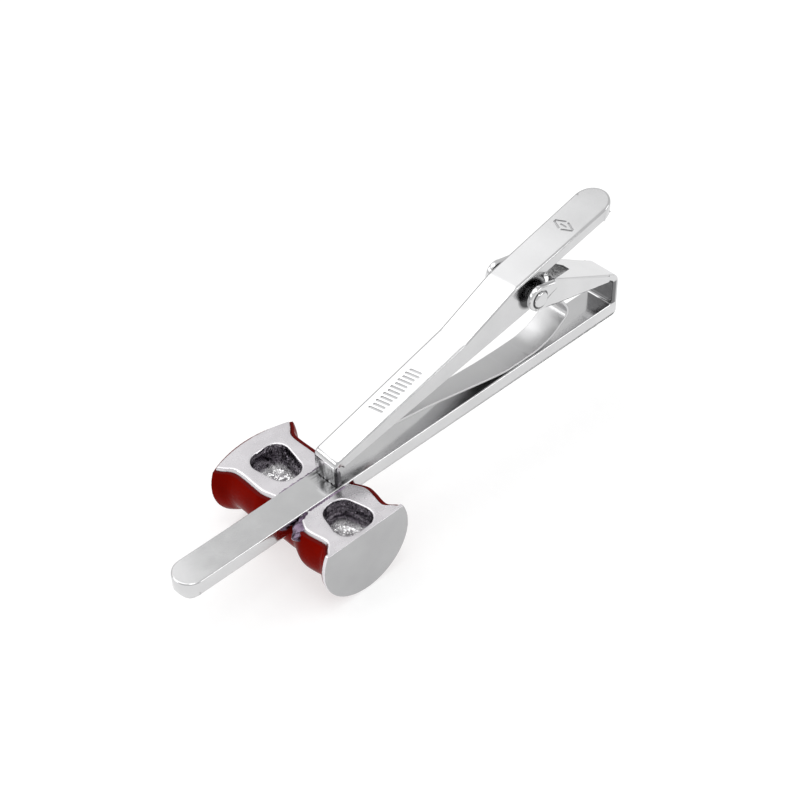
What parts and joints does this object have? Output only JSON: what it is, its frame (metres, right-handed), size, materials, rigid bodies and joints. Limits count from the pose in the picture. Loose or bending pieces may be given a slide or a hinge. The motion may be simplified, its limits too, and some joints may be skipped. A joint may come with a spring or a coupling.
{
  "type": "tie clip",
  "caption": "Hinged spring tie bar with a narrow polished bar, a pressed clamp lever and a spool-shaped ornament in red enamel.",
  "frame": {"origin": "middle of the bite line, where the jaw of the lever meets the back of the bar", "axes": "+X along the bar towards the folded hinge end, +Y across it towards the domed end of the ornament, +Z out of the back of the bar"},
  "size_m": [0.06, 0.0183, 0.023],
  "materials": {
    "polished_silver": "polished",
    "cast_silver": "satin",
    "spring_steel": "satin",
    "red_enamel": "gloss",
    "solder": "satin"
  },
  "bodies": {
    "bar": {"front_bar": "polished_silver", "pivot_pin": "polished_silver", "bow_spring": "spring_steel", "ornament_casting": "cast_silver", "ornament_enamel": "red_enamel", "near_solder": "solder", "far_solder": "solder"},
    "lever": {"clamp_lever": "polished_silver"}
  },
  "joints": [
    {"name": "lever_hinge", "type": "hinge", "parent": "bar", "child": "lever", "pos_m": [0.0266, 0, 0.0093], "axis": [0, 1, 0], "range_deg": [0, 17], "stiffness_Nm_per_rad": 0.2, "springref_deg": -17.19, "deforming": ["bow_spring"]}
  ]
}
